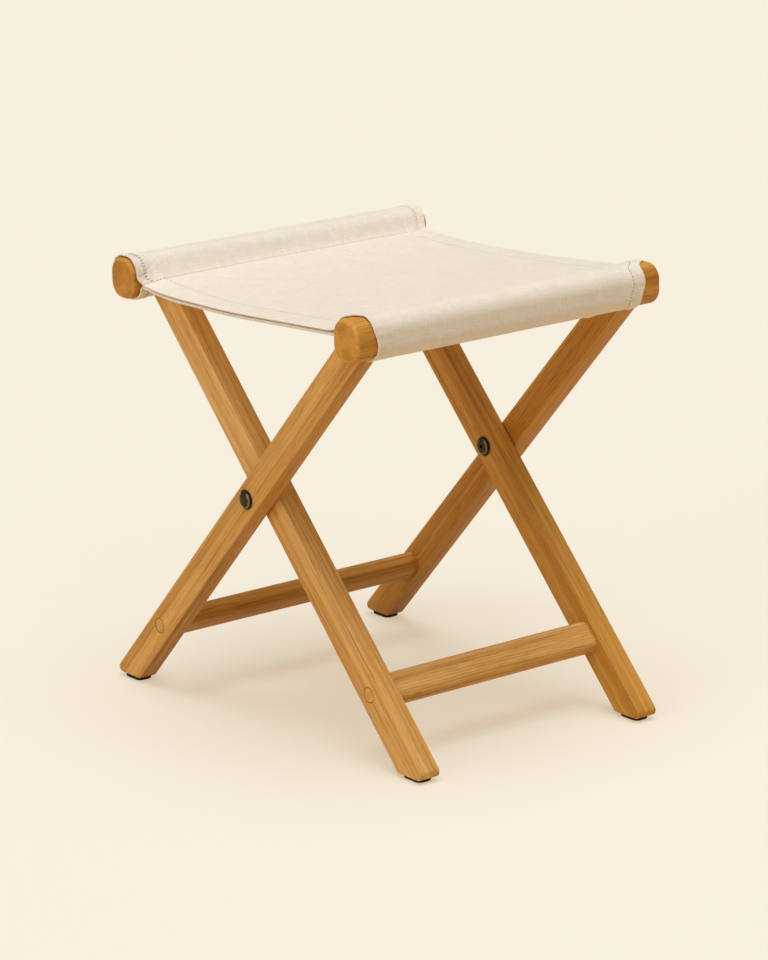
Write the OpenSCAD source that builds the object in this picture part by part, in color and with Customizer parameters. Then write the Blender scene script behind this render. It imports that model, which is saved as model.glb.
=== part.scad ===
// Folding camping stool: two crossed wooden frames on a pair of pivot bolts, with a doubled
// canvas seat slung between their rails. The origin is on the floor, midway between the feet.
// X runs across the crossing legs, Y runs along the rails and Z is up.
// "Near" is the side at -Y, "far" the side at +Y. The outer frame leans towards +X.

/* [Stance] */
// Angle of every leg from the vertical, in degrees
leg_lean = 43.5; // [41:0.5:46]
// Height of the pivot bolts above the floor
pivot_height = 236; // [220:1:240]
// Height of the rails' centre lines above the floor
rail_height = 427; // [410:1:430]
// Distance between the outer faces of the two outer legs
frame_width = 344; // [320:2:400]

/* [Legs] */
// Width of a leg, seen from the side
leg_w = 31; // [29:0.5:34]
// Thickness of a leg, along the rails
leg_t = 23; // [21:0.5:27]
// Radius of the eased long edges of the legs
leg_edge_r = 3; // [1.5:0.5:5]
// Radius of the foot's outer corner
toe_r = 5.5; // [3:0.5:7]
// Radius of the foot's inner corner
heel_r = 4; // [2:0.5:7]
// How far the top of an outer leg lies under the rail's centre line
outer_top_drop = 1; // [0:0.5:8]
// How far the top of an inner leg lies under the rail's centre line, clear of the canvas
inner_top_drop = 15; // [14:0.5:16]

/* [Rails] */
// Width of a rail, across the stool
rail_w = 38; // [34:1:42]
// Height of a rail's section
rail_h = 41; // [40:1:48]
// Radius of the rail's long edges
rail_edge_r = 16; // [10:0.5:17]
// Length of both rails
rail_len = 372; // [360:2:430]
// Radius of the rounding around a rail's end
rail_end_r = 5; // [2:0.5:8]
// Diameter of the dowel that ties a leg to its rail
dowel_d = 10; // [8:1:12]
// How deep the dowel goes into the leg
dowel_in_leg = 26; // [20:1:34]
// Distance of the dowel from the leg's centre line, towards the rail's outer side
dowel_offset = 4.5; // [4:0.5:6]

/* [Stretchers] */
// Height of a stretcher's centre above the floor
stretcher_height = 71; // [55:1:85]
// Width of a stretcher's flattened oval, along the leg
stretcher_w = 33; // [28:1:36]
// Thickness of a stretcher's flattened oval
stretcher_t = 21; // [18:0.5:24]
// Width of the stub tenon on a stretcher's end
tenon_w = 24; // [19:1:26]
// Thickness of the stub tenon
tenon_t = 12; // [10:0.5:15]
// Length of the stub tenon
tenon_len = 8; // [5:0.5:10]
// Diameter of the screw that pulls a stretcher home
screw_d = 5; // [4:0.5:6]
// Diameter of the screw's countersunk head
screw_head_d = 10; // [9:0.5:12]
// Height of the screw's countersunk head
screw_head_h = 4; // [3:0.5:5]
// Whole length of the screw
screw_len = 45; // [35:1:60]
// Diameter of the wooden plug over the screw
plug_d = 15.5; // [14:0.5:18]
// Depth of the plug
plug_depth = 5; // [3.5:0.5:6]

/* [Foot pads] */
// Thickness of the pad under a foot
pad_t = 4; // [2:0.5:5]
// Distance from the ends of the foot's flat face to the ends of its pad
pad_end_inset = 0.8; // [0.5:0.1:2]
// Distance from the leg's sides to the sides of the pad
pad_side_inset = 2.5; // [2:0.5:4]
// Radius of the pad's corners
pad_corner_r = 4; // [2:0.5:6]
// Diameter of the tack's shank
tack_d = 2.4; // [2:0.2:3]
// Length of the tack's shank under its head
tack_len = 15; // [10:1:18]
// Diameter of the tack's head
tack_head_d = 7; // [6:0.5:9]
// Thickness of the tack's head
tack_head_t = 0.8; // [0.6:0.1:1]
// How far the tack's head lies above the floor
tack_sink = 0.7; // [0.4:0.1:0.9]

/* [Pivot bolts] */
// Outside diameter of the threaded sleeve on which the legs turn
sleeve_d = 9; // [8:0.5:10]
// Diameter of the bolt in the sleeve
bolt_d = 6; // [5:0.5:6]
// How far the bolt reaches into the sleeve, from under its head
bolt_reach = 22; // [15:1:30]
// Diameter of the bolt's and the sleeve's flat heads
head_d = 17; // [15:0.5:19]
// Thickness of these heads
head_t = 3; // [2.5:0.5:4]
// Bevel around these heads
head_bevel = 1.2; // [0.6:0.1:1.6]
// Width of the six-sided key socket in the sleeve's head, across its corners
key_w = 5; // [4:0.5:6]
// Depth of the key socket
key_depth = 1.8; // [1:0.1:2]
// Diameter of the washers under the heads
washer_d = 20; // [18:0.5:22]
// Thickness of every washer
washer_t = 1; // [0.8:0.1:1.5]

/* [Canvas] */
// Thickness of one layer of canvas
cloth_t = 1.2; // [0.8:0.1:1.4]
// Distance from a rail's end to the edge of the sleeve on the left rail
left_sleeve_inset = 10; // [8:1:20]
// Distance from a rail's end to the edge of the sleeve on the right rail
right_sleeve_inset = 20; // [16:1:28]
// Distance from a rail's end to the long edges of the seat
seat_inset = 10; // [8:1:20]
// How far below the left rail's centre line the seat leaves that rail, at its near edge
near_seam_drop = 2; // [0:0.5:8]
// How far below the left rail's centre line the seat leaves that rail, at its far edge
far_seam_drop = 0; // [0:0.5:8]
// Where the near edge leaves the right rail, as an angle above the horizontal
near_lift_angle = 25; // [20:1:60]
// Where the far edge leaves the right rail, as an angle above the horizontal
far_lift_angle = 62; // [30:1:70]
// Lowest point of the near edge, below the rails' centre lines
near_sag = 12.5; // [8:0.5:16]
// Lowest point of the far edge, below the rails' centre lines
far_sag = 0.5; // [0:0.5:16]
// Where the near edge is lowest, as a share of the way from the left rail to the right rail
near_low_share = 0.36; // [0.3:0.01:0.6]
// Where the far edge is lowest, as a share of the same way
far_low_share = 0.16; // [0.1:0.01:0.6]
// Space between the seat's two layers
layer_gap = 0.5; // [0.4:0.1:0.8]

/* [Clearances] */
// Gap around what is glued or driven into the wood
joint_gap = 0.05; // [0.02:0.01:0.1]
// Radial gap of the legs' bores on the pivot sleeves
turn_gap = 0.08; // [0.04:0.01:0.1]
// Gap between flat faces that turn past each other
face_gap = 0.1; // [0.05:0.05:0.2]
// Gap around a plug, seen as a fine dark ring
plug_gap = 0.2; // [0.1:0.05:0.3]
// Gap between the canvas and what it lies on
cloth_gap = 0.3; // [0.3:0.1:0.6]
// Gap around a leg where it passes through the canvas
slot_gap = 1.5; // [1:0.5:3]

/* [Hidden] */
$fn = 48;
near = -1;
far = 1;

// Faces of the legs on the far side, measured from the middle of the stool
outer_face = frame_width / 2;
outer_back = outer_face - leg_t;
inner_face = outer_back - washer_t - face_gap;
inner_back = inner_face - leg_t;

// The rails lie on the legs' own centre lines
rail_rise = rail_height - pivot_height;
rail_x = rail_rise * tan(leg_lean);
rail_reach = rail_rise / cos(leg_lean);
half_rail = rail_len / 2;

// The legs run past both ends and are then cut to shape
leg_over = leg_w;
leg_down = pivot_height / cos(leg_lean) + leg_over;
leg_up = rail_reach + leg_over;

// The foot's face, cut level, and the flat that its rounded corners leave for the pad
side_angle = 90 - leg_lean;
foot_x = -(pivot_height - pad_t) * tan(leg_lean);
foot_half = leg_w / 2 / cos(leg_lean);
toe_reach = toe_r / tan(side_angle / 2);
heel_reach = heel_r / tan((180 - side_angle) / 2);
pad_x = foot_x + (toe_reach - heel_reach) / 2;
pad_len = 2 * foot_half - toe_reach - heel_reach - 2 * pad_end_inset;
pad_w = leg_t - 2 * pad_side_inset;

// Distance of a stretcher's centre from the pivot, along the leg
stretcher_drop = (pivot_height - stretcher_height) / cos(leg_lean);

// The dowel ends at the height of the rail's centre
dowel_len = dowel_in_leg + rail_h / 2;

// The cloth around a rail
cloth_in = cloth_gap;
cloth_out = cloth_gap + cloth_t;
left_sleeve_half = half_rail - left_sleeve_inset;
right_sleeve_half = half_rail - right_sleeve_inset;
seat_half = half_rail - seat_inset;

// Flat shapes
module round_rect(w, h, r) {
    square([w - 2 * r, h], center = true);
    square([w, h - 2 * r], center = true);
    for (sx = [-1, 1], sy = [-1, 1])
        translate([sx * (w / 2 - r), sy * (h / 2 - r)]) circle(r);
}

module flat_oval(w, t) {
    square([w - t, t], center = true);
    for (sx = [-1, 1]) translate([sx * (w - t) / 2, 0]) circle(t / 2);
}

// Extrudes a shape drawn in X and Z along Y, from y0 to y1
module along_y(y0, y1) {
    translate([0, y1, 0]) rotate([90, 0, 0]) linear_extrude(y1 - y0) children();
}

// A round bar along Y, from y0 to y1
module bar_y(r, y0, y1) {
    translate([0, y1, 0]) rotate([90, 0, 0]) cylinder(r = r, h = y1 - y0);
}

// Everything that belongs to the inner frame is drawn leaning to the right and mirrored
module inner_side() {
    mirror([1, 0, 0]) children();
}

// The near side is the far side mirrored
module on_side(side) {
    if (side == far) children();
    else mirror([0, 1, 0]) children();
}

module both_sides() {
    on_side(far) children();
    on_side(near) children();
}

// Places on a right-leaning leg
module at_pivot() {
    translate([0, 0, pivot_height]) children();
}

module along_leg() {
    at_pivot() rotate([0, leg_lean, 0]) children();
}

module at_rail() {
    translate([rail_x, 0, rail_height]) children();
}

module at_stretcher() {
    along_leg() translate([0, 0, -stretcher_drop]) children();
}

// A rail's section, grown by some gap
module rail_section(grow) {
    round_rect(rail_w + 2 * grow, rail_h + 2 * grow, rail_edge_r + grow);
}

// What comes off a corner of the foot to leave it round. The foot's face and the leg's edge
// leave the corner at two angles, and the cutter stands a little outside both.
function way(angle) = [cos(angle), sin(angle)];

module corner_cut(x, r, turn_from, turn_to) {
    half_turn = (turn_to - turn_from) / 2;
    mid = (turn_from + turn_to) / 2;
    reach = r / tan(half_turn);
    centre = r / sin(half_turn) * way(mid);
    outside = 1;
    translate([x, pad_t]) difference() {
        polygon([
            reach * way(turn_from),
            reach * way(turn_from) + outside * way(turn_from - 90),
            -outside / sin(half_turn) * way(mid),
            reach * way(turn_to) + outside * way(turn_to + 90),
            reach * way(turn_to),
            centre
        ]);
        translate(centre) circle(r);
    }
}

module foot_cut(y0, y1) {
    along_y(y0, y1) translate([foot_x - 3 * leg_w, pad_t - 2 * leg_w])
        square([6 * leg_w, 2 * leg_w]);
    along_y(y0, y1) corner_cut(foot_x - foot_half, toe_r, 0, side_angle);
    along_y(y0, y1) corner_cut(foot_x + foot_half, heel_r, side_angle, 180);
}

// One leg on the far side, between the faces y0 and y1, with its mortise, bores and recesses
module leg(y0, y1, top_drop) {
    mid = (y0 + y1) / 2;
    difference() {
        along_leg() translate([0, mid, -leg_down]) linear_extrude(leg_down + leg_up)
            round_rect(leg_w, leg_t, leg_edge_r);
        foot_cut(y0 - 1, y1 + 1);
        // The leg's top, flat and under the rail's middle
        translate([rail_x - 3 * leg_w, y0 - 1, rail_height - top_drop])
            cube([6 * leg_w, leg_t + 2, 3 * leg_w]);
        // The bed for the rail, and the tip of the leg that would stand out behind it
        at_rail() along_y(y0 - 1, y1 + 1) rail_section(joint_gap);
        at_rail() translate([rail_w / 2 - 1, y0 - 1, rail_edge_r - rail_h / 2])
            cube([leg_w, leg_t + 2, rail_h]);
        dowel_bore(mid);
        at_pivot() bar_y(sleeve_d / 2 + turn_gap, y0 - 1, y1 + 1);
        stretcher_joint(y0, y1);
        translate([pad_x, mid, 0])
            cylinder(d = tack_d + 2 * joint_gap, h = tack_sink + tack_head_t + tack_len + joint_gap);
    }
}

module dowel_bore(mid) {
    along_leg() translate([dowel_offset, mid, rail_reach - dowel_len - joint_gap])
        cylinder(d = dowel_d + 2 * joint_gap, h = dowel_len + 2 * joint_gap);
}

module dowel(mid) {
    along_leg() translate([dowel_offset, mid, rail_reach - dowel_len])
        cylinder(d = dowel_d, h = dowel_len);
}

// The stub tenon's mortise, the screw's hole and the plug's recess in the leg between y0 and y1
module stretcher_joint(y0, y1) {
    at_stretcher() {
        along_y(y0 - 1, y0 + tenon_len + joint_gap) rotate(90)
            flat_oval(tenon_w + 2 * joint_gap, tenon_t + 2 * joint_gap);
        bar_y(screw_d / 2 + joint_gap, y0, y1);
        bar_y(plug_d / 2 + plug_gap, y1 - plug_depth - joint_gap, y1 + 1);
        screw_head(y1, joint_gap);
    }
}

// The countersunk head, its wide end against the plug of the leg whose outer face is at y1
module screw_head(y1, grow) {
    translate([0, y1 - plug_depth - joint_gap, 0]) rotate([90, 0, 0])
        cylinder(r1 = screw_head_d / 2 + grow, r2 = screw_d / 2 + grow, h = screw_head_h);
}

module stretcher_screw(y1) {
    head_y = y1 - plug_depth - joint_gap;
    at_stretcher() {
        screw_head(y1, 0);
        bar_y(screw_d / 2, head_y - screw_len, head_y - screw_head_h / 2);
    }
}

module stretcher_plug(y1) {
    at_stretcher() bar_y(plug_d / 2, y1 - plug_depth, y1);
}

// The bar between the inner faces of two legs, which lie at y0, with a stub tenon on each end
module stretcher(y0) {
    screw_end = y0 + leg_t - plug_depth - screw_len;
    difference() {
        at_stretcher() {
            along_y(-y0, y0) rotate(90) flat_oval(stretcher_w, stretcher_t);
            along_y(-y0 - tenon_len, y0 + tenon_len) rotate(90) flat_oval(tenon_w, tenon_t);
        }
        both_sides() at_stretcher()
            bar_y(screw_d / 2 + joint_gap, screw_end - 2 * joint_gap, y0 + tenon_len + 1);
    }
}

// A rail with eased ends and the bores for its two dowels, which lie at +mid and -mid
module rail(mid) {
    difference() {
        at_rail() intersection() {
            along_y(-half_rail, half_rail) rail_section(0);
            linear_extrude(2 * rail_h, center = true) round_rect(rail_w, rail_len, rail_end_r);
            rotate([0, 90, 0]) linear_extrude(2 * rail_w, center = true)
                round_rect(rail_h, rail_len, rail_end_r);
        }
        both_sides() dowel_bore(mid);
    }
}

// The pad under a foot, its bottom face on the floor
module foot_pad(mid) {
    translate([pad_x, mid, 0]) difference() {
        linear_extrude(pad_t) round_rect(pad_len, pad_w, pad_corner_r);
        translate([0, 0, -1]) cylinder(d = tack_d + 2 * joint_gap, h = pad_t + 2);
        translate([0, 0, -1])
            cylinder(d = tack_head_d + 2 * joint_gap, h = 1 + tack_sink + tack_head_t + joint_gap);
    }
}

module pad_tack(mid) {
    translate([pad_x, mid, tack_sink]) {
        cylinder(d = tack_head_d, h = tack_head_t);
        cylinder(d = tack_d, h = tack_head_t + tack_len);
    }
}

// The pivot stack on the far side, from the outside in:
// bolt head, washer, outer leg, spacer, inner leg, washer, sleeve head
bolt_seat = outer_face + washer_t;
sleeve_seat = inner_back - face_gap - washer_t;

// A flat head with a bevelled rim, standing on y = 0 and pointing to +Y
module flat_head() {
    rotate([-90, 0, 0]) rotate_extrude() polygon([
        [0, 0],
        [head_d / 2, 0],
        [head_d / 2, head_t - head_bevel],
        [head_d / 2 - head_bevel, head_t],
        [0, head_t]
    ]);
}

module pivot_bolt() {
    at_pivot() {
        translate([0, bolt_seat, 0]) flat_head();
        bar_y(bolt_d / 2, bolt_seat - bolt_reach, bolt_seat + head_t / 2);
    }
}

module pivot_sleeve() {
    at_pivot() difference() {
        union() {
            bar_y(sleeve_d / 2, sleeve_seat - head_t / 2, bolt_seat - face_gap);
            translate([0, sleeve_seat, 0]) mirror([0, 1, 0]) flat_head();
        }
        bar_y(bolt_d / 2 + joint_gap, bolt_seat - bolt_reach - 2, bolt_seat + 1);
        translate([0, sleeve_seat - head_t + key_depth, 0]) rotate([90, 0, 0])
            cylinder(d = key_w, h = key_depth + 1, $fn = 6);
    }
}

module washer(y0) {
    at_pivot() difference() {
        bar_y(washer_d / 2, y0, y0 + washer_t);
        bar_y(sleeve_d / 2 + turn_gap, y0 - 1, y0 + washer_t + 1);
    }
}

// The canvas around a rail: a ring with slots where the legs between y0 and y1 pass through
module sleeve(half, y0, y1, top_drop) {
    difference() {
        at_rail() along_y(-half, half) difference() {
            rail_section(cloth_out);
            rail_section(cloth_in);
        }
        both_sides() leg_slot(y0, y1, top_drop);
    }
}

// A slot runs up the inner side of the rail to just above the leg's top. The rail's outer side
// keeps its canvas.
module leg_slot(y0, y1, top_drop) {
    slot_w = leg_w + 2 * slot_gap;
    slot_t = y1 - y0 + 2 * slot_gap;
    slot_top = rail_height - top_drop + slot_gap;
    slot_end = rail_x + leg_w / 4;
    intersection() {
        along_leg() translate([-slot_w / 2, y0 - slot_gap, 0]) cube([slot_w, slot_t, leg_up]);
        translate([slot_end - 3 * leg_w, y0 - slot_gap, slot_top - 3 * leg_w])
            cube([3 * leg_w, slot_t, 3 * leg_w]);
    }
}

// The seat's line in X and Z at one place across the stool. It leaves the left rail at the seam,
// falls to its lowest point, climbs towards the right rail and turns up over that rail's rounded
// inner edge. It hangs lowest at the near edge, and the far edge is nearly taut.
ring_r = rail_edge_r + cloth_out;
edge_centre = [rail_x - rail_w / 2 + rail_edge_r, rail_height + rail_h / 2 - rail_edge_r];
lift_r = ring_r + cloth_gap + cloth_t;

// How fast the sag dies away from the near edge towards the far one
sag_spread = 2.2;
function near_share(y) = pow((seat_half - y) / (2 * seat_half), sag_spread);
function mix(at_far, at_near, share) = at_far + (at_near - at_far) * share;

// The slopes at which the seat leaves the seam, downwards. The steeper one brings the lower
// corner of the two layers back towards the left sleeve, so the seam stands off by that much more.
near_seam_slope = 10;
far_seam_slope = 1;
seam_back = (2 * cloth_t + layer_gap) * tan(near_seam_slope);
seam_x = -rail_x + rail_w / 2 + cloth_out + cloth_gap + seam_back;

// Just before the right rail the seat passes this far in and under the lift, at these slopes
turn_in = 15;
near_turn_fall = 12;
far_turn_fall = 8;
near_turn_slope = 3;
far_turn_slope = 5;

// Facets along the seat and across it
run_steps = 7;
turn_steps = 5;
seat_columns = 10;

// A smooth stretch from p to q that starts along a and ends along b
function stretch(p, q, a, b, steps) = let (size = norm(q - p)) [
    for (i = [0 : steps])
        let (u = i / steps)
        (2 * u * u * u - 3 * u * u + 1) * p + (u * u * u - 2 * u * u + u) * size * a
        + (3 * u * u - 2 * u * u * u) * q + (u * u * u - u * u) * size * b
];

function tail(line) = [for (i = [1 : len(line) - 1]) line[i]];
function seat_line(y) =
    let (
        share = near_share(y),
        seam_drop = mix(far_seam_drop, near_seam_drop, share),
        seam = [seam_x, rail_height - seam_drop],
        seam_slope = mix(far_seam_slope, near_seam_slope, share),
        angle = mix(far_lift_angle, near_lift_angle, share),
        lift = edge_centre + lift_r * way(180 - angle),
        turn = lift - [turn_in, mix(far_turn_fall, near_turn_fall, share)],
        turn_slope = mix(far_turn_slope, near_turn_slope, share),
        low_share = mix(far_low_share, near_low_share, share),
        low = [mix(seam[0], turn[0], low_share), rail_height - mix(far_sag, near_sag, share)]
    )
    concat(
        stretch(seam, low, way(-seam_slope), way(0), run_steps),
        tail(stretch(low, turn, way(0), way(turn_slope), run_steps)),
        tail(stretch(turn, lift, way(turn_slope), way(90 - angle), turn_steps))
    );

// The same line moved down along its normals
function way_at(line, i) =
    let (a = line[max(i - 1, 0)], b = line[min(i + 1, len(line) - 1)]) (b - a) / norm(b - a);
function lowered(line, d) =
    [for (i = [0 : len(line) - 1]) line[i] + d * [way_at(line, i)[1], -way_at(line, i)[0]]];

// One face of a layer, a depth d under the seat's line: count points in each line
function seat_face(d, count) = [
    for (k = [0 : seat_columns])
        let (y = -seat_half + 2 * seat_half * k / seat_columns, line = lowered(seat_line(y), d))
        for (i = [0 : count - 1]) [line[i][0], y, line[i][1]]
];

// The two triangles of the quad a, b, c, d
function halves(a, b, c, d) = [[a, b, c], [a, c, d]];

// One layer of the seat, its top a depth d under the seat's line, with the last points left off
module seat_layer(d, left_off) {
    count = len(seat_line(0)) - left_off;
    under = count * (seat_columns + 1);
    last = count - 1;
    far_line = count * seat_columns;
    polyhedron(
        points = concat(seat_face(d, count), seat_face(d + cloth_t, count)),
        faces = concat(
            [for (k = [0 : seat_columns - 1], i = [0 : last - 1])
                let (a = k * count + i, b = a + 1, c = b + count, d = a + count)
                for (f = concat(
                    halves(a, d, c, b),
                    halves(under + a, under + b, under + c, under + d)
                )) f],
            [for (i = [0 : last - 1])
                for (f = concat(
                    halves(i, i + 1, under + i + 1, under + i),
                    halves(far_line + i + 1, far_line + i,
                        under + far_line + i, under + far_line + i + 1)
                )) f],
            [for (k = [0 : seat_columns - 1])
                let (a = k * count, b = a + count)
                for (f = concat(
                    halves(b, a, under + a, under + b),
                    halves(a + last, b + last, under + b + last, under + a + last)
                )) f]
        )
    );
}

wood = "burlywood";
wood_end = "peru";
brass = "darkgoldenrod";
rubber = "dimgray";
canvas = "antiquewhite";
steel = "silver";

module outer_leg(side) {
    color(wood) on_side(side) leg(outer_back, outer_face, outer_top_drop);
}

module inner_leg(side) {
    color(wood) on_side(side) inner_side() leg(inner_back, inner_face, inner_top_drop);
}

outer_mid = (outer_back + outer_face) / 2;
inner_mid = (inner_back + inner_face) / 2;

module right_rail() {
    color(wood) rail(outer_mid);
}

module left_rail() {
    color(wood) inner_side() rail(inner_mid);
}

module outer_stretcher() {
    color(wood) stretcher(outer_back);
}

module inner_stretcher() {
    color(wood) inner_side() stretcher(inner_back);
}

module outer_rail_dowels() {
    color(wood_end) both_sides() dowel(outer_mid);
}

module inner_rail_dowels() {
    color(wood_end) both_sides() inner_side() dowel(inner_mid);
}

module outer_stretcher_screws() {
    color(steel) both_sides() stretcher_screw(outer_face);
}

module inner_stretcher_screws() {
    color(steel) both_sides() inner_side() stretcher_screw(inner_face);
}

module outer_stretcher_plugs() {
    color(wood_end) both_sides() stretcher_plug(outer_face);
}

module inner_stretcher_plugs() {
    color(wood_end) both_sides() inner_side() stretcher_plug(inner_face);
}

module outer_foot_pad(side) {
    color(rubber) on_side(side) foot_pad(outer_mid);
}

module inner_foot_pad(side) {
    color(rubber) on_side(side) inner_side() foot_pad(inner_mid);
}

module outer_pad_tacks() {
    color(steel) both_sides() pad_tack(outer_mid);
}

module inner_pad_tacks() {
    color(steel) both_sides() inner_side() pad_tack(inner_mid);
}

module left_sleeve() {
    color(canvas) inner_side() sleeve(left_sleeve_half, inner_back, inner_face, inner_top_drop);
}

module right_sleeve() {
    color(canvas) sleeve(right_sleeve_half, outer_back, outer_face, outer_top_drop);
}

module seat_upper_layer() {
    color(canvas) seat_layer(0, 0);
}

module seat_under_layer() {
    color(canvas) seat_layer(cloth_t + layer_gap, 3);
}

outer_leg(near);  // outer_leg_near
outer_leg(far);  // outer_leg_far
right_rail();
outer_stretcher();
inner_leg(near);  // inner_leg_near
inner_leg(far);  // inner_leg_far
left_rail();
inner_stretcher();
outer_rail_dowels();
inner_rail_dowels();
outer_stretcher_screws();
inner_stretcher_screws();
outer_stretcher_plugs();
inner_stretcher_plugs();
outer_foot_pad(near);  // outer_foot_pad_near
outer_foot_pad(far);  // outer_foot_pad_far
inner_foot_pad(near);  // inner_foot_pad_near
inner_foot_pad(far);  // inner_foot_pad_far
outer_pad_tacks();
inner_pad_tacks();
color(brass) on_side(near) pivot_bolt();  // pivot_bolt_near
color(brass) on_side(far) pivot_bolt();  // pivot_bolt_far
color(brass) on_side(near) pivot_sleeve();  // pivot_sleeve_near
color(brass) on_side(far) pivot_sleeve();  // pivot_sleeve_far
color(brass) on_side(near) washer(outer_face);  // bolt_washer_near
color(brass) on_side(far) washer(outer_face);  // bolt_washer_far
color(brass) on_side(near) washer(sleeve_seat);  // sleeve_washer_near
color(brass) on_side(far) washer(sleeve_seat);  // sleeve_washer_far
color(brass) on_side(near) washer(outer_back - washer_t);  // spacer_washer_near
color(brass) on_side(far) washer(outer_back - washer_t);  // spacer_washer_far
left_sleeve();
right_sleeve();
seat_upper_layer();
seat_under_layer();
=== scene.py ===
# %% [markdown]
# # A folding camping stool
# Two crossed frames of honey-brown hardwood turn on a pair of dark brass bolts. A doubled length
# of undyed canvas is slung between their round-edged rails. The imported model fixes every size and
# place, and this lesson dresses it: eased and grained wood, sewn cloth, aged metal and soft light.

import math

import bmesh
import bpy
import numpy as np
from mathutils import Euler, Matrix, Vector, noise


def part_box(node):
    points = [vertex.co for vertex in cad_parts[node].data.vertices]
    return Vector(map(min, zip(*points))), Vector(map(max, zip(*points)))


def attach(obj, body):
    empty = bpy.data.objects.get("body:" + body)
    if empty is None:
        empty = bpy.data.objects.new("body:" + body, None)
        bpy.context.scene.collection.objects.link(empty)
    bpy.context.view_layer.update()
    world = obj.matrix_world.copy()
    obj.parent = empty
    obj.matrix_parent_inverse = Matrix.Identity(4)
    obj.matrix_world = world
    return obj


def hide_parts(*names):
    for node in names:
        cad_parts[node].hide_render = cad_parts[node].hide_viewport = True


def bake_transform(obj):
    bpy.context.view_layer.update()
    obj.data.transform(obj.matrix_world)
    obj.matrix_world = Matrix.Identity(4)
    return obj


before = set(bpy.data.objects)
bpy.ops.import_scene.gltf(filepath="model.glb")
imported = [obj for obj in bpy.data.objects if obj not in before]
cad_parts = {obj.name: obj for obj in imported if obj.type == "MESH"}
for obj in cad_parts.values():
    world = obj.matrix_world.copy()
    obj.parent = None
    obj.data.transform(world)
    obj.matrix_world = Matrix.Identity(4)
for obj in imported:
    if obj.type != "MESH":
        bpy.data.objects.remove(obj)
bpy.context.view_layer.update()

# %% [markdown]
# ## Sizes
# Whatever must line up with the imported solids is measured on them, so a change there is followed
# here. The rest are the small sizes that only the looks need. All lengths below are millimetres,
# because a joiner thinks in them, and they become metres when a mesh is made.

# %% Sizes taken from the solids
MM = 0.001


def box_mm(node):
    low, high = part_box(node)
    return np.array(low) / MM, np.array(high) / MM


def leg_mm(node):
    """A far leg's inner and outer face, and its top."""
    low, high = box_mm(node)
    return (low[1], high[1]), high[2]


rail_low, rail_high = box_mm("right_rail")
RAIL_X = (rail_low[0] + rail_high[0]) / 2
RAIL_Z = (rail_low[2] + rail_high[2]) / 2
RAIL_W = rail_high[0] - rail_low[0]
RAIL_H = rail_high[2] - rail_low[2]
RAIL_END = rail_high[1]
PIVOT_Z = float(np.mean(box_mm("pivot_bolt_near"), axis=0)[2])
LEAN = math.atan2(RAIL_X, RAIL_Z - PIVOT_Z)
OUTER_LEG, OUTER_TOP = leg_mm("outer_leg_far")
INNER_LEG, INNER_TOP = leg_mm("inner_leg_far")
PAD_TOP = box_mm("outer_foot_pad_far")[1][2]
STRETCHER = np.mean(box_mm("inner_stretcher_plugs"), axis=0)
PLUG_R = float(box_mm("inner_stretcher_plugs")[1][2] - STRETCHER[2])
rail_size = f"{RAIL_W:.0f} x {RAIL_H:.0f} x {2 * RAIL_END:.0f}"
print(f"lean {math.degrees(LEAN):.1f} degrees, rails {rail_size} mm")

# %% Sizes that only the looks need
LEG_W = 31.0
EASED = 3.0
TOE_R, HEEL_R = 5.5, 4.0
RAIL_EDGE_R, RAIL_END_R = 16.0, 5.0
JOINT_GAP = 0.05
TURN_STEPS = 48
print("legs are", LEG_W, "mm wide with edges eased by", EASED, "mm")

# %% [markdown]
# ## Writing materials as arithmetic
# A node tree is hard to read as a list of links. Here a small class stands for one socket and
# overloads Python's operators, so a mask is written the way it would be on paper.

# %% Shader arithmetic


def new_node(tree, kind, settings, sockets):
    """A node whose inputs are linked to other nodes' sockets or set to plain values."""
    node = tree.nodes.new(kind)
    for key, value in (settings or {}).items():
        setattr(node, key, value)
    for key, value in (sockets or {}).items():
        if isinstance(value, bpy.types.NodeSocket):
            tree.links.new(value, node.inputs[key])
        else:
            node.inputs[key].default_value = value
    return node


class Value:
    """One output socket of a material's node tree."""

    def __init__(self, finish, socket):
        self.finish = finish
        self.socket = socket

    def math(self, operation, *others):
        sockets = dict(enumerate((self, *others)))
        return self.finish.put("ShaderNodeMath", {"operation": operation}, sockets)

    def __add__(self, other):
        return self.math("ADD", other)

    def __sub__(self, other):
        return self.math("SUBTRACT", other)

    def __rsub__(self, other):
        return self.finish.put("ShaderNodeMath", {"operation": "SUBTRACT"}, {0: other, 1: self})

    def __mul__(self, other):
        return self.math("MULTIPLY", other)

    def __truediv__(self, other):
        return self.math("DIVIDE", other)

    def __pow__(self, other):
        return self.math("POWER", other)

    __radd__, __rmul__ = __add__, __mul__

    def between(self, low, high):
        """0 below low, 1 above high and smooth between them. It falls where low is above high."""
        if low > high:
            return 1 - self.between(high, low)
        settings = {"interpolation_type": "SMOOTHSTEP"}
        return self.finish.put("ShaderNodeMapRange", settings, {0: self, 1: low, 2: high})


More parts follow.
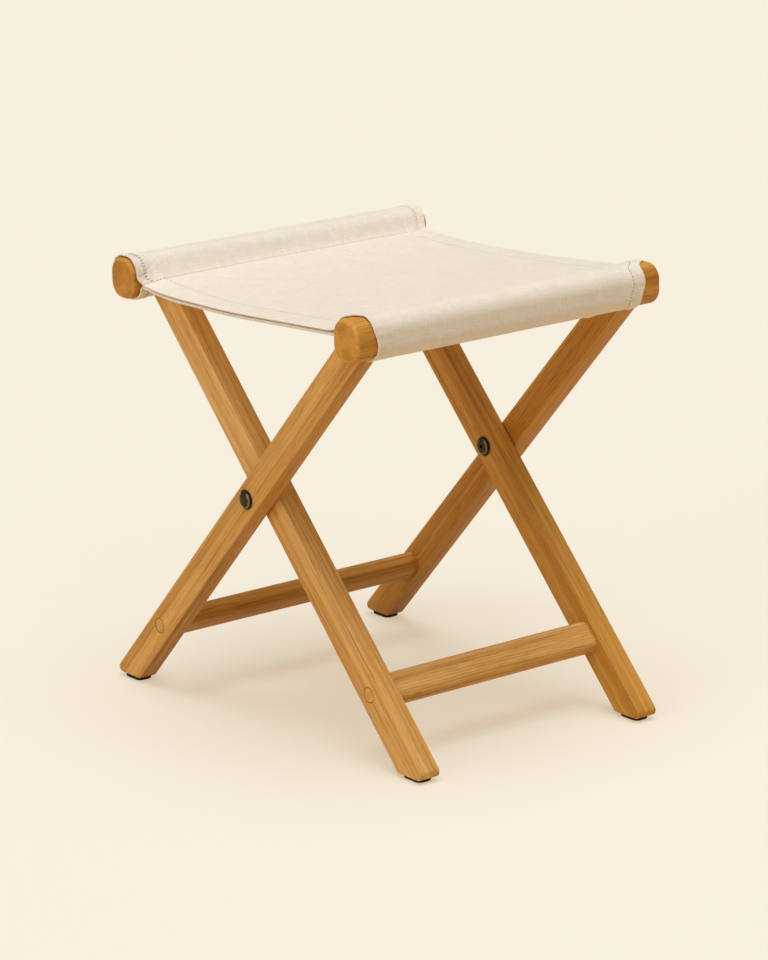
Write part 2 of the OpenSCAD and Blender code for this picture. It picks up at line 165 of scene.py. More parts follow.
class Finish:
    """One procedural material. put() adds a node and returns one of its outputs."""

    def __init__(self, name=None, material=None):
        """Starts a new material, or works on in one that is already made."""
        self.material = material or bpy.data.materials.new(name)
        self.material.use_nodes = True
        self.tree = self.material.node_tree
        if not material:
            self.tree.nodes.clear()

    def put(self, kind, settings=None, sockets=None, out=0):
        sockets = {key: getattr(value, "socket", value) for key, value in (sockets or {}).items()}
        node = new_node(self.tree, kind, settings, sockets)
        return Value(self, node.outputs[out]) if node.outputs else None

    def vector(self, operation, first, second, out=0):
        sockets = {0: first, 1: second}
        return self.put("ShaderNodeVectorMath", {"operation": operation}, sockets, out)

    def noise(self, vector, amounts, detail=2.0, roughness=0.5, out=0):
        sockets = {"Vector": self.vector("MULTIPLY", vector, amounts), "Scale": 1.0}
        sockets.update({"Detail": detail, "Roughness": roughness})
        return self.put("ShaderNodeTexNoise", {}, sockets, out)

    def blend(self, share, first, second, how="MIX"):
        settings = {"data_type": "RGBA", "blend_type": how}
        return self.put("ShaderNodeMix", settings, {0: share, 6: first, 7: second}, out=2)

    def parts(self, vector):
        node = self.put("ShaderNodeSeparateXYZ", {}, {0: vector}).socket.node
        return [Value(self, socket) for socket in node.outputs]

    def bump(self, height, strength, distance):
        sockets = {"Height": height, "Strength": strength, "Distance": distance}
        return self.put("ShaderNodeBump", {}, sockets)

    def spot(self):
        """The point that is looked at, in the piece's own space and in metres."""
        return self.put("ShaderNodeTexCoord", out=3)

    def find(self, kind):
        return next(node for node in self.tree.nodes if node.type == kind)

    def surface(self, **sockets):
        """The last node. Names are the shader's own, with _ for a space."""
        named = {key.replace("_", " "): value for key, value in sockets.items()}
        shader = self.put("ShaderNodeBsdfPrincipled", {}, named)
        self.put("ShaderNodeOutputMaterial", {}, {"Surface": shader})
        return self.material


def colour(red, green, blue):
    """A linear colour with its alpha."""
    return (red, green, blue, 1.0)


print("materials can be written as sums and products")

# %% [markdown]
# ## Oiled hardwood
# Wood is a solid pattern, not a picture wrapped around a stick: rings around a pith, fibres along
# the trunk, and dark pores. The grain is worked out from the place inside the board, so a side
# shows long streaks and an end shows curved rings of the same tree. Each board gets its own piece
# of trunk by a shift, and its own direction by a turn.

# %% The wood's pattern
# Honey, amber, streak and pale wood of the palest board and of the richest one
PALE_BOARD = ((0.84, 0.47, 0.15), (0.65, 0.306, 0.063), (0.335, 0.125, 0.021), (0.92, 0.60, 0.23))
RICH_BOARD = ((0.59, 0.244, 0.018), (0.44, 0.154, 0.008), (0.214, 0.066, 0.003), (0.73, 0.36, 0.05))
PORE = colour(0.12, 0.04, 0.008)
RING_GAP, WANDER = 0.0031, 0.014


def wood(name, turn, shift, pith, richness_and_shade):
    """Grain along the board: turn lays it along Z, pith is where the trunk's middle lies.

    The last argument is 0 for a pale board and 1 for a rich one. It is partly the board's own tone
    and partly painted shade: boards that lie in shade are given richer, darker wood. A noise's
    three sizes are in waves a metre, many across the board and few along it.
    """
    f = Finish(name)
    honey, amber, streak, pale = (
        colour(*(a + (b - a) * richness_and_shade for a, b in zip(light, rich)))
        for light, rich in zip(PALE_BOARD, RICH_BOARD)
    )
    spot = f.spot()
    board = f.put("ShaderNodeMapping", {}, {"Vector": spot, "Rotation": turn, "Location": shift})
    wander = f.noise(board, (6, 6, 2.2), detail=1.5, out=1)
    wander = f.vector("SUBTRACT", wander, (0.5,) * 3)
    bent = f.vector("ADD", board, f.vector("MULTIPLY", wander, (WANDER,) * 3))
    x, y, z = f.parts(bent)
    x, y = x - pith[0], y - pith[1]
    radius = (x * x + y * y) ** 0.5
    fibre = f.noise(board, (1100, 1100, 22), detail=3)
    across = Euler(turn).to_matrix()[2]
    normal = f.put("ShaderNodeTexCoord", out=1)
    facing = f.vector("DOT_PRODUCT", normal, tuple(across), out=1)
    side_grain = facing.math("ABSOLUTE").between(0.9, 0.6)
    streaks = f.noise(bent, (170, 170, 2.6), detail=5, roughness=0.65)
    bands = f.noise(bent, (55, 55, 1.5), detail=3, roughness=0.55)
    cloud = f.noise(bent, (9, 9, 4), detail=3)
    ring = (radius / RING_GAP + streaks * 1.1).math("FRACT")
    late = ring.between(0.3, 0.85) * ring.between(1.0, 0.9)
    pores = f.noise(board, (1500, 1500, 45), detail=1).between(0.62, 0.74)
    lines = f.noise(board, (800, 800, 40), detail=2, roughness=0.6).between(0.5, 0.68)
    # Eased edges beside the near and far faces are lightened: partly wear, partly a painted
    # highlight
    toward_y = f.parts(normal)[1].math("ABSOLUTE")
    rubbed_and_lit_edge = toward_y.between(0.2, 0.5) * toward_y.between(0.96, 0.8)
    heart = radius.between(0.0016, 0.0004)
    body = f.blend(bands.between(0.38, 0.64), honey, amber)
    for share, tone in (
        (late * (0.1 + 0.24 * bands.between(0.3, 0.65)), streak),
        (streaks.between(0.52, 0.68) * (0.15 + 0.5 * side_grain), streak),
        (streaks.between(0.46, 0.3) * (0.1 + 0.4 * side_grain), pale),
        (cloud.between(0.62, 0.35) * 0.2, pale),
        (fibre.between(0.62, 0.34) * 0.2, pale),
        (lines * (0.1 + 0.2 * side_grain), streak),
        (pores * (0.3 + 0.35 * late), PORE),
        (heart * 0.6, PORE),
        (rubbed_and_lit_edge * 0.3, pale),
    ):
        body = f.blend(share, body, tone)
    height = fibre * 0.5 + late * 0.2 - pores * 0.6
    return f.surface(
        Base_Color=body,
        Roughness=0.42 + 0.14 * streaks - 0.04 * late,
        Specular_IOR_Level=0.12,
        Normal=f.bump(height, 0.16, 0.0004),
    )


ALONG_RIGHT = (0.0, -LEAN, 0.0)
ALONG_LEFT = (0.0, LEAN, 0.0)
ALONG_RAIL = (math.pi / 2, 0.0, 0.0)
# The last number is partly each board's own tone and partly painted shade and light: the far legs
# and the rails, shaded under the seat, are richer and darker, and the inner stretcher is paler.
BOARDS = {
    "outer_leg_near": (ALONG_RIGHT, (0.013, 0.17, 0.4), (-0.195, 0.061), 0.37),
    "outer_leg_far": (ALONG_RIGHT, (0.31, 0.42, 1.3), (0.25, 0.52), 0.8),
    "inner_leg_near": (ALONG_LEFT, (0.7, 0.9, 2.1), (0.80, 0.72), 0.0),
    "inner_leg_far": (ALONG_LEFT, (1.2, 1.4, 3.3), (1.28, 1.59), 0.78),
    "right_rail": (ALONG_RAIL, (0.02, 0.6, 4.1), (0.198, 0.181), 0.76),
    "left_rail": (ALONG_RAIL, (1.9, 1.1, 5.2), (1.69, 0.644), 0.8),
    "outer_stretcher": (ALONG_RAIL, (2.3, 2.1, 6.0), (2.1, 2.09), 0.53),
    "inner_stretcher": (ALONG_RAIL, (2.9, 2.7, 7.0), (3.09, 2.68), -0.15),
}
WOODS = {node: wood("wood " + node.replace("_", " "), *grain) for node, grain in BOARDS.items()}
print(len(WOODS), "boards have their own grain")

# %% [markdown]
# ## Shaping boards
# A leg's side view is drawn as an outline: a foot cut level with rounded corners, two long edges,
# and a bed for the round-edged rail. The outline is pushed through the leg's thickness. A bevel
# then eases only the edges that a joiner would ease, so the bed stays tight against its rail.

# %% Helpers for meshes


def in_scene(name, data):
    thing = bpy.data.objects.new(name, data)
    bpy.context.scene.collection.objects.link(thing)
    return thing


def new_piece(name, verts_mm, faces, material):
    mesh = bpy.data.meshes.new(name)
    mesh.from_pydata([tuple(float(c) * MM for c in v) for v in verts_mm], [], faces)
    mesh.materials.append(material)
    return in_scene(name, mesh)


def point_outwards(piece):
    """For a closed shape: merged doubles, faces outwards."""
    bm = bmesh.new()
    bm.from_mesh(piece.data)
    bmesh.ops.remove_doubles(bm, verts=bm.verts, dist=1e-6)
    bmesh.ops.recalc_face_normals(bm, faces=bm.faces)
    bm.to_mesh(piece.data)
    bm.free()


def soften(piece, angle):
    """Smooth shading, sharp over this angle, with the large flat faces kept flat."""
    piece.data.shade_smooth()
    piece.data.set_sharp_from_angle(angle=math.radians(angle))
    flat = piece.modifiers.new("flat faces", "WEIGHTED_NORMAL")
    flat.keep_sharp = True


def bake_modifiers(piece):
    """Turns the modifiers' result into the piece's own mesh."""
    graph = bpy.context.evaluated_depsgraph_get()
    mesh = bpy.data.meshes.new_from_object(piece.evaluated_get(graph))
    piece.modifiers.clear()
    piece.data = mesh


def place(piece, angle, body, slot, *nodes):
    """Softens a finished piece and hands it to the frame."""
    soften(piece, angle)
    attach(piece, body)
    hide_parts(*nodes)


def way(angle):
    """A unit step at this angle, in degrees, in the side view."""
    return np.array([math.cos(math.radians(angle)), math.sin(math.radians(angle))])


def arc(centre, radius, start, stop, steps):
    return [centre + radius * way(a) for a in np.linspace(start, stop, steps + 1)]


def loft(name, rings, material):
    """A closed piece: quads between rings of equal count, and a face over each end."""
    count = len(rings[0])
    verts = [point for ring in rings for point in ring]
    faces = []
    for i in range(len(rings) - 1):
        for j in range(count):
            k = (j + 1) % count
            faces.append((i * count + j, i * count + k, (i + 1) * count + k, (i + 1) * count + j))
    faces.append(tuple(range(count)))
    faces.append(tuple(range(len(verts) - 1, len(verts) - count - 1, -1)))
    piece = new_piece(name, verts, faces, material)
    point_outwards(piece)
    return piece


def round_rect(width, height, radius, steps=10):
    corners = ((1, 1, 0), (-1, 1, 90), (-1, -1, 180), (1, -1, 270))
    points = []
    for sx, sz, start in corners:
        centre = np.array([sx * (width / 2 - radius), sz * (height / 2 - radius)])
        points += arc(centre, radius, start, start + 90, steps)
    return points


print("helpers are ready")

# %% A leg's side view


def leg_outline(top):
    """Points in X and Z of a right-leaning leg, and which edges along Y are eased."""
    lean = math.degrees(LEAN)
    half = LEG_W / 2 / math.cos(LEAN)
    foot_x = -(PIVOT_Z - PAD_TOP) * math.tan(LEAN)
    side = 90 - lean

    def edge_x(z, sign):
        return (z - PIVOT_Z) * math.tan(LEAN) + sign * half

    toe_half, heel_half = side / 2, (180 - side) / 2
    toe = np.array([foot_x - half, PAD_TOP])
    toe = toe + TOE_R / math.sin(math.radians(toe_half)) * way(toe_half)
    heel = np.array([foot_x + half, PAD_TOP])
    heel = heel + HEEL_R / math.sin(math.radians(heel_half)) * way(180 - heel_half)
    eased = arc(toe, TOE_R, 180 - lean, 270, 10) + arc(heel, HEEL_R, -90, -lean, 6)
    under = RAIL_Z - RAIL_H / 2 - JOINT_GAP
    eased.append(np.array([edge_x(under, 1), under]))
    corner = np.array([RAIL_X - RAIL_W / 2 + RAIL_EDGE_R, RAIL_Z - RAIL_H / 2 + RAIL_EDGE_R])
    reach = RAIL_EDGE_R + JOINT_GAP
    bed = [p for p in arc(corner, reach, 270, 180, 24) if p[1] < top - 0.2]
    drop = max(0.0, corner[1] - top)
    bed.append(np.array([corner[0] - math.sqrt(reach**2 - drop**2), top]))
    points = eased + bed + [np.array([edge_x(top, -1), top])]
    is_eased = [True] * (len(eased) - 1) + [False] * len(bed) + [True, True]
    return points, is_eased


def leg(name, side, inner, span, top):
    """side is -1 for the near leg and 1 for the far one. An inner leg is the mirror image."""
    points, is_eased = leg_outline(top)
    flip = -1 if inner else 1
    low, high = sorted((side * span[0], side * span[1]))
    count = len(points)
    verts = [(flip * p[0], y, p[1]) for y in (low, high) for p in points]
    faces = [tuple(range(count)), tuple(range(2 * count - 1, count - 1, -1))]
    faces += [(j, (j + 1) % count, count + (j + 1) % count, count + j) for j in range(count)]
    piece = new_piece(name, verts, faces, WOODS[name])
    bm = bmesh.new()
    bm.from_mesh(piece.data)
    bmesh.ops.recalc_face_normals(bm, faces=bm.faces)
    weight = bm.edges.layers.float.new("bevel_weight_edge")
    bm.verts.ensure_lookup_table()
    for start in (0, count):
        for j in range(count):
            a, b = bm.verts[start + j], bm.verts[start + (j + 1) % count]
            bm.edges.get((a, b))[weight] = 1.0 if is_eased[j] else 0.0
    bm.to_mesh(piece.data)
    bm.free()
    ease = piece.modifiers.new("eased edges", "BEVEL")
    ease.limit_method = "WEIGHT"
    ease.width = EASED * MM
    ease.segments = 5
    return piece


PLUG_GAP, RECESS = 0.22, 5.1


def drill_plug(piece, x, face_y):
    """The shallow round recess that holds the plug over the stretcher's screw."""
    bpy.ops.mesh.primitive_cylinder_add(
        vertices=64, radius=(PLUG_R + PLUG_GAP) * MM, depth=2 * RECESS * MM,
        location=(x * MM, face_y * MM, STRETCHER[2] * MM), rotation=(math.pi / 2, 0, 0),
    )
    cutter = bpy.context.object
    cut = piece.modifiers.new("plug recess", "BOOLEAN")
    cut.operation = "DIFFERENCE"
    cut.solver = "EXACT"
    cut.object = cutter
    bake_modifiers(piece)
    bpy.data.objects.remove(cutter)


# %% The four legs
for name, side, inner in (
    ("outer_leg_near", -1, False),
    ("outer_leg_far", 1, False),
    ("inner_leg_near", -1, True),
    ("inner_leg_far", 1, True),
):
    span, top = (INNER_LEG, INNER_TOP) if inner else (OUTER_LEG, OUTER_TOP)
    board = leg(name, side, inner, span, top)
    plug_x = abs(STRETCHER[0]) * (1 if inner else -1)
    drill_plug(board, plug_x, side * span[1])
    board.name = name + "_wood"
    place(board, 35, "inner_frame" if inner else "outer_frame", "wood", name)
    print(board.name, len(board.data.polygons), "faces")

# %% [markdown]
# ## Rails and stretchers
# Both are bars along Y. A rail is a rectangle with big round corners whose ends roll over, so its
# rings shrink over the last few millimetres. A stretcher is a flattened oval that disappears into
# the legs at both ends.

# %% Two rails


def rail(name, x, body):
    rings = []
    turns = np.linspace(0, 90, 8)
    for side in (-1, 1):
        end = []
        for turn in turns:
            inset = RAIL_END_R * (1 - math.sin(math.radians(turn)))
            y = side * (RAIL_END - RAIL_END_R * (1 - math.cos(math.radians(turn))))
            ring = round_rect(RAIL_W - 2 * inset, RAIL_H - 2 * inset, RAIL_EDGE_R - inset)
            end.append([(x + p[0], y, RAIL_Z + p[1]) for p in ring])
        rings += end if side < 0 else end[::-1]
    piece = loft(name + "_wood", rings, WOODS[name])
    place(piece, 60, body, "wood", name)
    return piece


for name, x, body in (("right_rail", RAIL_X, "outer_frame"), ("left_rail", -RAIL_X, "inner_frame")):
    print(name, len(rail(name, x, body).data.polygons), "faces")

# %% Two stretchers
STRETCHER_W, STRETCHER_T = 33.0, 21.0
INTO_LEG = 0.8


def stretcher(name, sign, lean, reach, body):
    flat = (STRETCHER_W - STRETCHER_T) / 2
    oval = arc(np.array([0, flat]), STRETCHER_T / 2, 0, 180, 16)
    oval += arc(np.array([0, -flat]), STRETCHER_T / 2, 180, 360, 16)
    axis = np.array([math.sin(lean), math.cos(lean)])
    across = np.array([math.cos(lean), -math.sin(lean)])
    centre = np.array([sign * abs(STRETCHER[0]), STRETCHER[2]])
    section = [centre + p[0] * across + p[1] * axis for p in oval]
    rings = [[(p[0], y, p[1]) for p in section] for y in (-reach - INTO_LEG, reach + INTO_LEG)]
    place(loft(name + "_wood", rings, WOODS[name]), 50, body, "wood", name)


stretcher("outer_stretcher", -1, LEAN, OUTER_LEG[0], "outer_frame")
stretcher("inner_stretcher", 1, -LEAN, INNER_LEG[0], "inner_frame")
print("stretchers are", STRETCHER_W, "x", STRETCHER_T, "mm")

# %% [markdown]
# ## Wooden plugs
# The screws that hold the stretchers are hidden under round plugs, glued in and sanded flush. Seen
# from the side each is only a faint disc of other grain in a fine dark ring. The ring is real: the
# plug is a little narrower than its recess.

# %% Plugs over the screws
ACROSS_GRAIN = (math.pi / 2, 0.0, 0.6)
PLUG_WOOD = wood("wood plug", ACROSS_GRAIN, (3.3, 0.2, 1.1), (3.2, 0.26), 0.35)


def darken_rim(material, x, z, start, stop):
    """Dirt gathers around a plug: its colour is darkened outside start, in metres."""
    f = Finish(material=material)
    px, _, pz = f.parts(f.spot())
    px, pz = px.math("ABSOLUTE") - x, pz - z
    rim = ((px * px + pz * pz) ** 0.5).between(start, stop)
    base = f.find("BSDF_PRINCIPLED").inputs["Base Color"]
    after = f.blend(rim * 0.75, Value(f, base.links[0].from_socket), PORE)
    f.tree.links.new(after.socket, base)


darken_rim(PLUG_WOOD, abs(STRETCHER[0]) * MM, STRETCHER[2] * MM, 0.0066, 0.0076)


def turned(name, profile, centre, facing, material):
    """A shape turned about Y: profile is (radius, height) pairs, height towards facing."""
    rings = []
    for radius, height in profile:
        y = centre[1] + facing * height
        steps = np.linspace(0, 360, TURN_STEPS, endpoint=False)
        spots = [way(a) * max(radius, 1e-4) for a in steps]
        rings.append([(centre[0] + p[0], y, centre[2] + p[1]) for p in spots])
    return loft(name, rings, material)


def joined(name, pieces):
    """Several small shapes of one body as one piece."""
    bm = bmesh.new()
    for piece in pieces:
        bm.from_mesh(piece.data)
    mesh = bpy.data.meshes.new(name)
    bm.to_mesh(mesh)
    bm.free()
    mesh.materials.append(pieces[0].data.materials[0])
    for piece in pieces:
        bpy.data.objects.remove(piece)
    return in_scene(name, mesh)


def plugs(name, sign, face, body, node):
    """The two plugs of one stretcher. Their profile sinks a little under the leg's face."""
    profile = [(0, -4.8), (PLUG_R, -4.8), (PLUG_R, -0.45), (PLUG_R - 0.4, -0.08), (0, -0.05)]
    both = []
    for side in (-1, 1):
        centre = (sign * abs(STRETCHER[0]), side * face, STRETCHER[2])
        both.append(turned(f"plug{side}", profile, centre, side, PLUG_WOOD))
    place(joined(name, both), 50, body, "plug_wood", node)


plugs("outer_plugs", -1, OUTER_LEG[1], "outer_frame", "outer_stretcher_plugs")
plugs("inner_plugs", 1, INNER_LEG[1], "inner_frame", "inner_stretcher_plugs")
print("four plugs,", 2 * PLUG_R, "mm across")

# %% [markdown]
# ## Aged brass
# The bolt heads have darkened to an olive brown, and only their rims are rubbed bright. The rub
# follows the place on the head: a mask grows with the distance from the bolt's own line.

# %% The bolts' finish
DARK_BRASS, WORN_BRASS = colour(0.026, 0.018, 0.007), colour(0.10, 0.07, 0.026)
BRIGHT_BRASS = colour(0.34, 0.24, 0.10)


def aged_brass(name):
    """Dark and cloudy, and rubbed bright on the rim, 7 to 8.5 mm from the bolt's line."""
    f = Finish(name)
    spot = f.spot()
    x, _, z = f.parts(spot)
    z = z - PIVOT_Z * MM
    distance = (x * x + z * z) ** 0.5
    cloud = f.noise(spot, (240, 240, 240), detail=4, roughness=0.6)
    fine = f.noise(spot, (1400, 1400, 1400), detail=2)
    on_rim = distance.between(0.0066, 0.0074) * distance.between(0.0086, 0.0080)
    rubbed = (on_rim * 0.75 + cloud * 0.5 - 0.3).between(0.1, 0.55)
    tone = f.blend(cloud.between(0.35, 0.68), DARK_BRASS, WORN_BRASS)
    tone = f.blend(rubbed * 0.5, tone, BRIGHT_BRASS)
    return f.surface(
        Base_Color=tone,
        Metallic=0.95,
        Roughness=0.36 + 0.22 * cloud - 0.08 * rubbed,
        Normal=f.bump(fine + cloud, 0.12, 0.0002),
    )


BRASS = aged_brass("aged brass")
print("one finish for all the bolts' parts")

# %% Bolt heads and washers
# Profiles as radius and height, in millimetres
DOME = [(0, 3.0), (3.2, 2.95), (5.6, 2.72), (6.9, 2.35), (7.25, 2.0)]
DOME += [(8.1, 1.55), (8.45, 1.1), (8.5, 0.3), (8.3, 0.0), (0, 0.0)]
KEY_DOME = [(0.01, 0.0), (8.3, 0.0), (8.5, 0.3), (8.5, 1.1), (8.1, 1.6), (7.3, 2.3)]
KEY_DOME += [(6.0, 2.75), (3.4, 2.95)]
KEY_HOLE = [(2.5, 2.9), (2.4, 2.7), (2.4, 1.2), (0.01, 1.2)]
WASHER_T = 1.0
RING = [(4.6, 0.0), (9.7, 0.0), (10.0, 0.3), (10.0, 0.7)]
RING += [(9.7, WASHER_T), (4.6, WASHER_T), (4.6, 0.0)]


def key_head(name, centre, facing):
    """The sleeve's head: a flat dome with a six-sided hole for a key."""
    turns = np.linspace(0, 360, TURN_STEPS, endpoint=False)
    rings = [[(way(a) * radius, height) for a in turns] for radius, height in KEY_DOME]
    for size, height in KEY_HOLE:
        flat = size * math.cos(math.radians(30))
        six = [flat / math.cos(math.radians((a % 60) - 30)) for a in turns]
        rings.append([(way(a) * radius, height) for a, radius in zip(turns, six)])
    placed = [
        [(centre[0] + p[0], centre[1] + facing * h, centre[2] + p[1]) for p, h in ring]
        for ring in rings
    ]
    return loft(name, placed, BRASS)


for label, side in (("near", -1), ("far", 1)):
    outside = side * OUTER_LEG[1]
    inside = box_mm("sleeve_washer_" + label)[1 if side > 0 else 0][1]
    for name, node, profile, y, facing, angle in (
        ("washer_", "bolt_washer_", RING, outside, side, 50),
        ("bolt_head_", "pivot_bolt_", DOME, outside + side * WASHER_T, side, 32),
        ("inside_washer_", "sleeve_washer_", RING, inside, -side, 50),
        ("sleeve_head_", "pivot_sleeve_", None, inside - side * WASHER_T, -side, 32),
    ):
        centre = (0.0, y, PIVOT_Z)
        if profile:
            piece = turned(name + label, profile, centre, facing, BRASS)
        else:
            piece = key_head(name + label, centre, facing)
        place(piece, angle, "outer_frame", "antique_brass", node + label)
print("two bolts, each with a head, a sleeve head and washers")

# %% [markdown]
# ## Foot pads
# Thin dark rubber pads are tacked under the level-cut feet. They are slabs with softened rims.

# %% Rubber and the four pads


def rubber(name):
    f = Finish(name)
    spot = f.spot()
    speckle = f.noise(spot, (900, 900, 900), detail=3, roughness=0.7)
    worn = f.noise(spot, (90, 90, 90), detail=3)
    tone = f.blend(worn.between(0.4, 0.7), colour(0.018, 0.013, 0.01), colour(0.045, 0.033, 0.025))
    return f.surface(
        Base_Color=tone,
        Roughness=0.68 + 0.15 * speckle,
        Specular_IOR_Level=0.2,
        Normal=f.bump(speckle, 0.3, 0.0003),
    )


RUBBER = rubber("dark rubber")
PAD_CORNER = 6.0


def pad(name):
    """A slab whose rim is given as inset and height."""
    low, high = box_mm(name)
    centre, size = (low + high) / 2, high - low
    top = size[2]
    rim = [(1.6, 0.0), (0.7, 0.3), (0.2, 0.9), (0.0, 1.8)]
    rim += [(0.0, top - 0.5), (0.2, top - 0.15), (0.5, top)]
    rings = []
    for inset, z in rim:
        ring = round_rect(size[0] - 2 * inset, size[1] - 2 * inset, PAD_CORNER - inset, 8)
        rings.append([(centre[0] + p[0], centre[1] + p[1], z) for p in ring])
    piece = loft(name.replace("foot_pad", "rubber_pad"), rings, RUBBER)
    place(piece, 50, name.split("_")[0] + "_frame", "pad", name)


for frame_name in ("outer", "inner"):
    for label in ("near", "far"):
        pad(f"{frame_name}_foot_pad_{label}")
print(f"four pads, {PAD_TOP:.1f} mm thick")

# %% [markdown]
# ## The canvas as one strip
# The seat is one long strip. It starts at a seam beside the left rail, goes under and around that
# rail, bends away from it as the seat's upper layer, rolls over the right rail, comes back up
# behind it, and returns as the under layer to the same seam. In Blender it is a grid: rows along
# that way, columns across the stool. Cloth of this kind is stretched, not padded, so its curve is
# drawn rather than simulated.

# %% The way around a rail
CLOTH_GAP = 0.7
RING_R = RAIL_EDGE_R + CLOTH_GAP
FLAT_TOP = RAIL_W - 2 * RAIL_EDGE_R
FLAT_SIDE = RAIL_H - 2 * RAIL_EDGE_R
QUARTER = RING_R * math.pi / 2
AROUND = 4 * QUARTER + 2 * FLAT_TOP + 2 * FLAT_SIDE


def around_rail(x, s):
    """A point at s millimetres clockwise from the top of the rail's left side."""
    cx, cz = RAIL_W / 2 - RAIL_EDGE_R, RAIL_H / 2 - RAIL_EDGE_R
    parts = (
        (QUARTER, (-cx, cz), 180), (FLAT_TOP, (-cx, cz), 90),
        (QUARTER, (cx, cz), 90), (FLAT_SIDE, (cx, cz), 0),
        (QUARTER, (cx, -cz), 0), (FLAT_TOP, (cx, -cz), -90),
        (QUARTER, (-cx, -cz), -90), (FLAT_SIDE, (-cx, -cz), 180),
    )
    s = s % AROUND
    for i, (size, corner, start) in enumerate(parts):
        if s <= size or i == 7:
            corner = np.array(corner)
            if i % 2 == 0:
                return np.array([x, RAIL_Z]) + corner + RING_R * way(start - 90 * s / size)
            along = way(start - 90)
            return np.array([x, RAIL_Z]) + corner + RING_R * way(start) + along * s
        s -= size


def curve(p, q, a, b, steps):
    """A flowing line from p to q, leaving along a and arriving along b."""
    p, q, a, b = (np.array(v, float) for v in (p, q, a, b))
    u = np.linspace(0, 1, steps + 1)[:, None]
    h = (2 * u**3 - 3 * u**2 + 1, u**3 - 2 * u**2 + u, 3 * u**2 - 2 * u**3, u**3 - u**2)
    return h[0] * p + h[1] * a + h[2] * q + h[3] * b


print(f"{AROUND:.0f} mm of canvas go around a rail")

# %% [markdown]
# The seat sags unevenly. Its near edge hangs lowest, a third of the way from the left rail, and
# its far edge is nearly taut. So two lines are drawn, one for each edge, from the same five
# points, and the lines between them are mixed. The near one counts for less and less across.

# %% The seat's lines
SEAT_HALF = 177.0
SEAM_X = -RAIL_X + RAIL_W / 2 + 9.5
TURN_IN = 15.0
SNUG_FOR = 27.0
HALF_CLOTH = 0.6
RIGHT_CORNER = np.array([RAIL_X - RAIL_W / 2 + RAIL_EDGE_R, RAIL_Z + RAIL_H / 2 - RAIL_EDGE_R])
SNUG_BACK, SNUG_DOWN = 7.0, 2.5
OVER_RAIL = 3.0
SAG_SPREAD = 2.2
# Heights from the rails' middle, the low point's share of the way, and angles in degrees
EDGE_KEYS = ("seam", "low", "where", "lift", "fall", "leave", "arrive")
NEAR_EDGE = dict(zip(EDGE_KEYS, (-0.5, -6.2, 0.36, 25.0, 8.5, -10.0, 3.0)))
FAR_EDGE = dict(zip(EDGE_KEYS, (1.0, -0.5, 0.16, 62.0, 8.0, -1.0, 5.0)))


def eased(x, start, stop):
    """0 at start, 1 at stop and smooth between them."""
    share = float(np.clip((x - start) / (stop - start), 0, 1))
    return share * share * (3 - 2 * share)


def snug(y):
    """At the near edge the left sleeve lies close to the rail's side: 1 there, 0 further in."""
    return eased(y, SNUG_FOR - SEAT_HALF, -SEAT_HALF)


def seat_points(y):
    """The seat's line at this place across the stool, in two stretches, and its last angle."""
    share = ((SEAT_HALF - np.clip(y, -SEAT_HALF, SEAT_HALF)) / (2 * SEAT_HALF)) ** SAG_SPREAD
    at = {key: FAR_EDGE[key] + (NEAR_EDGE[key] - FAR_EDGE[key]) * share for key in FAR_EDGE}
    seam_z = RAIL_Z + at["seam"] - SNUG_DOWN * snug(y) - HALF_CLOTH
    seam = np.array([SEAM_X - SNUG_BACK * snug(y), seam_z])
    over = RIGHT_CORNER + (RAIL_EDGE_R + OVER_RAIL) * way(180 - at["lift"])
    turn = over - [TURN_IN, at["fall"] + HALF_CLOTH]
    low_x = seam[0] + at["where"] * (turn[0] - seam[0])
    low = np.array([low_x, RAIL_Z + at["low"] - HALF_CLOTH])
    first = curve(seam, low, *(np.linalg.norm(low - seam) * way(a) for a in (at["leave"], 0)), 40)
    second = curve(low, turn, *(np.linalg.norm(turn - low) * way(a) for a in (0, at["arrive"])), 60)
    return np.concatenate([first, second[1:]]), at["lift"], at["arrive"]


print(f"the near edge hangs {-NEAR_EDGE['low']:.0f} mm under the rails' middle")

# %% Rows and columns of the strip
HEM = 25.0
SLOT_OUT, SLOT_IN = INNER_LEG[1] + 1.6, INNER_LEG[0] - 1.4
NOTCH = OUTER_LEG[0] - 2.0
HELD = SEAT_HALF - SLOT_OUT
# How far each column lies from the cloth's edge: close together at hems and slots
EDGE_STEPS = [0, 0.12, 0.35, 0.7, 1.2, 2.4, 4, 6, 8.5, 10.5]
EDGE_STEPS += [12.5, 13.5, 14.5, 16, 17.5, 18.5, 21, 24, 25, 26, HELD]
BETWEEN = list(np.linspace(HELD, SEAT_HALF - SLOT_IN, 6)[1:])
MIDDLE = list(np.linspace(SEAT_HALF - SLOT_IN, SEAT_HALF, 25)[1:])
FROM_EDGE = np.array(EDGE_STEPS + BETWEEN + MIDDLE)


def columns(near_half, far_half):
    """Places across the stool for a row with these edges."""
    both = []
    for half in (near_half, far_half):
        inner = (half - HELD) * (SEAT_HALF - FROM_EDGE) / (SEAT_HALF - HELD)
        both.append(np.where(FROM_EDGE <= HELD, half - FROM_EDGE, inner))
    return np.concatenate([-both[0], both[1][:-1][::-1]])


FROM_NEAREST = np.concatenate([FROM_EDGE, FROM_EDGE[:-1][::-1]])
UPPER_STEPS, UNDER_STEPS, RING_STEPS = 80, 60, 88
print(len(FROM_NEAREST), "columns")

# %% [markdown]
# Each column is one line of points. They are named by the stretch they belong to, so that widths,
# hems, slots and stitches can be asked for by name later.

# %% One column of the strip
# The flap that is tucked under the seam
TUCKED, FLAP_ANGLE, START_DOWN = np.array([0.6, 3.2]), -140, 4.0
